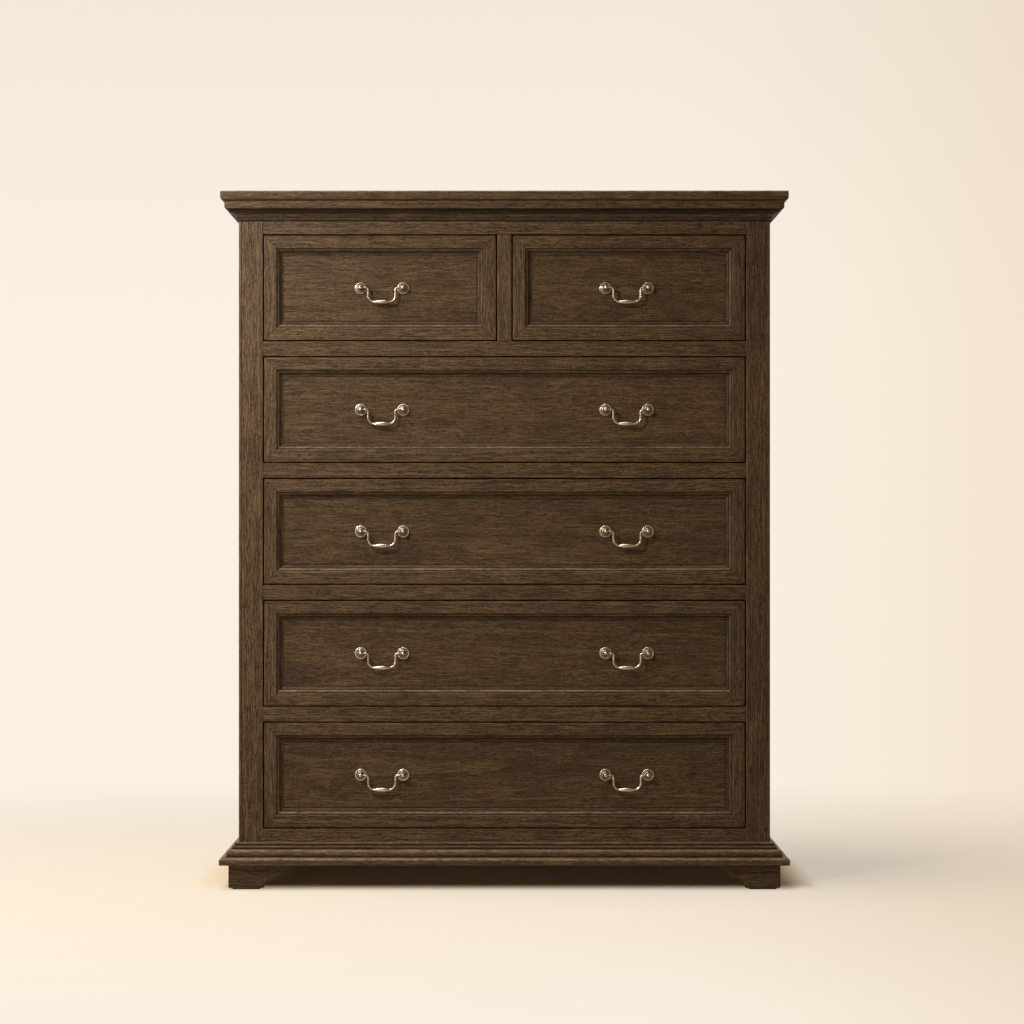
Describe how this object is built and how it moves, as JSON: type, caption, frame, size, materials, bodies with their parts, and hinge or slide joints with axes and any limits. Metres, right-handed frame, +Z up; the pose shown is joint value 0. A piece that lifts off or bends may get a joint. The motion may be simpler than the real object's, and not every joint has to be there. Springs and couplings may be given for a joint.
{
  "type": "tallboy chest of drawers",
  "caption": "Tall dark oak chest of drawers with sunk-panel drawer fronts, swan-neck bail handles, moulded cornice and plinth, and bracket feet.",
  "frame": {"origin": "on the floor under the middle of the overall box, taken over the plinth's width and from the plinth's front edge to the back of the case", "axes": "+Z up; the drawers face -Y and pull out along -Y; +X is to the right of someone facing the drawers"},
  "size_m": [1.014, 0.477, 1.2437],
  "materials": {
    "dark_oak": "dark-stained open-grain oak under a satin lacquer, rubbed pale at the edges",
    "plain_oak": "unstained sanded oak and oak-faced board",
    "aged_brass": "pale brass, lightly tarnished and rubbed bright on the raised parts"
  },
  "bodies": {
    "case": {"top_board": "dark_oak", "cornice_moulding": "dark_oak", "left_side": "dark_oak", "right_side": "dark_oak", "back_panel": "plain_oak", "top_frame": "dark_oak", "centre_muntin": "dark_oak", "centre_divider": "plain_oak", "drawer_frame_4": "dark_oak", "drawer_frame_3": "dark_oak", "drawer_frame_2": "dark_oak", "drawer_frame_1": "dark_oak", "bottom_frame": "dark_oak", "plinth_moulding": "dark_oak", "front_left_foot": "dark_oak", "front_right_foot": "dark_oak", "rear_left_foot": "dark_oak", "rear_right_foot": "dark_oak"},
    "bottom_drawer": {"bottom_drawer_front": "dark_oak", "bottom_drawer_box": "plain_oak", "bottom_drawer_left_left_post": "aged_brass", "bottom_drawer_left_right_post": "aged_brass", "bottom_drawer_right_left_post": "aged_brass", "bottom_drawer_right_right_post": "aged_brass"},
    "bottom_drawer_left_bail": {"bottom_drawer_left_bail": "aged_brass"},
    "bottom_drawer_right_bail": {"bottom_drawer_right_bail": "aged_brass"},
    "fourth_drawer": {"fourth_drawer_front": "dark_oak", "fourth_drawer_box": "plain_oak", "fourth_drawer_left_left_post": "aged_brass", "fourth_drawer_left_right_post": "aged_brass", "fourth_drawer_right_left_post": "aged_brass", "fourth_drawer_right_right_post": "aged_brass"},
    "fourth_drawer_left_bail": {"fourth_drawer_left_bail": "aged_brass"},
    "fourth_drawer_right_bail": {"fourth_drawer_right_bail": "aged_brass"},
    "third_drawer": {"third_drawer_front": "dark_oak", "third_drawer_box": "plain_oak", "third_drawer_left_left_post": "aged_brass", "third_drawer_left_right_post": "aged_brass", "third_drawer_right_left_post": "aged_brass", "third_drawer_right_right_post": "aged_brass"},
    "third_drawer_left_bail": {"third_drawer_left_bail": "aged_brass"},
    "third_drawer_right_bail": {"third_drawer_right_bail": "aged_brass"},
    "second_drawer": {"second_drawer_front": "dark_oak", "second_drawer_box": "plain_oak", "second_drawer_left_left_post": "aged_brass", "second_drawer_left_right_post": "aged_brass", "second_drawer_right_left_post": "aged_brass", "second_drawer_right_right_post": "aged_brass"},
    "second_drawer_left_bail": {"second_drawer_left_bail": "aged_brass"},
    "second_drawer_right_bail": {"second_drawer_right_bail": "aged_brass"},
    "top_left_drawer": {"top_left_drawer_front": "dark_oak", "top_left_drawer_box": "plain_oak", "top_left_drawer_left_post": "aged_brass", "top_left_drawer_right_post": "aged_brass"},
    "top_left_drawer_bail": {"top_left_drawer_bail": "aged_brass"},
    "top_right_drawer": {"top_right_drawer_front": "dark_oak", "top_right_drawer_box": "plain_oak", "top_right_drawer_left_post": "aged_brass", "top_right_drawer_right_post": "aged_brass"},
    "top_right_drawer_bail": {"top_right_drawer_bail": "aged_brass"}
  },
  "joints": [
    {"name": "bottom_drawer_slide", "type": "slide", "parent": "case", "child": "bottom_drawer", "axis": [0, -1, 0], "range_m": [0, 0.3]},
    {"name": "fourth_drawer_slide", "type": "slide", "parent": "case", "child": "fourth_drawer", "axis": [0, -1, 0], "range_m": [0, 0.3]},
    {"name": "third_drawer_slide", "type": "slide", "parent": "case", "child": "third_drawer", "axis": [0, -1, 0], "range_m": [0, 0.3]},
    {"name": "second_drawer_slide", "type": "slide", "parent": "case", "child": "second_drawer", "axis": [0, -1, 0], "range_m": [0, 0.3]},
    {"name": "top_left_drawer_slide", "type": "slide", "parent": "case", "child": "top_left_drawer", "axis": [0, -1, 0], "range_m": [0, 0.3]},
    {"name": "top_right_drawer_slide", "type": "slide", "parent": "case", "child": "top_right_drawer", "axis": [0, -1, 0], "range_m": [0, 0.3]},
    {"name": "bottom_drawer_left_bail_swing", "type": "hinge", "parent": "bottom_drawer", "child": "bottom_drawer_left_bail", "pos_m": [-0.219, -0.2123, 0.20225], "axis": [-1, 0, 0], "range_deg": [-20, 150]},
    {"name": "bottom_drawer_right_bail_swing", "type": "hinge", "parent": "bottom_drawer", "child": "bottom_drawer_right_bail", "pos_m": [0.219, -0.2123, 0.20225], "axis": [-1, 0, 0], "range_deg": [-20, 150]},
    {"name": "fourth_drawer_left_bail_swing", "type": "hinge", "parent": "fourth_drawer", "child": "fourth_drawer_left_bail", "pos_m": [-0.219, -0.2123, 0.42005], "axis": [-1, 0, 0], "range_deg": [-20, 150]},
    {"name": "fourth_drawer_right_bail_swing", "type": "hinge", "parent": "fourth_drawer", "child": "fourth_drawer_right_bail", "pos_m": [0.219, -0.2123, 0.42005], "axis": [-1, 0, 0], "range_deg": [-20, 150]},
    {"name": "third_drawer_left_bail_swing", "type": "hinge", "parent": "third_drawer", "child": "third_drawer_left_bail", "pos_m": [-0.219, -0.2123, 0.63785], "axis": [-1, 0, 0], "range_deg": [-20, 150]},
    {"name": "third_drawer_right_bail_swing", "type": "hinge", "parent": "third_drawer", "child": "third_drawer_right_bail", "pos_m": [0.219, -0.2123, 0.63785], "axis": [-1, 0, 0], "range_deg": [-20, 150]},
    {"name": "second_drawer_left_bail_swing", "type": "hinge", "parent": "second_drawer", "child": "second_drawer_left_bail", "pos_m": [-0.219, -0.2123, 0.85565], "axis": [-1, 0, 0], "range_deg": [-20, 150]},
    {"name": "second_drawer_right_bail_swing", "type": "hinge", "parent": "second_drawer", "child": "second_drawer_right_bail", "pos_m": [0.219, -0.2123, 0.85565], "axis": [-1, 0, 0], "range_deg": [-20, 150]},
    {"name": "top_left_drawer_bail_swing", "type": "hinge", "parent": "top_left_drawer", "child": "top_left_drawer_bail", "pos_m": [-0.219, -0.2123, 1.07345], "axis": [-1, 0, 0], "range_deg": [-20, 150]},
    {"name": "top_right_drawer_bail_swing", "type": "hinge", "parent": "top_right_drawer", "child": "top_right_drawer_bail", "pos_m": [0.219, -0.2123, 1.07345], "axis": [-1, 0, 0], "range_deg": [-20, 150]}
  ]
}
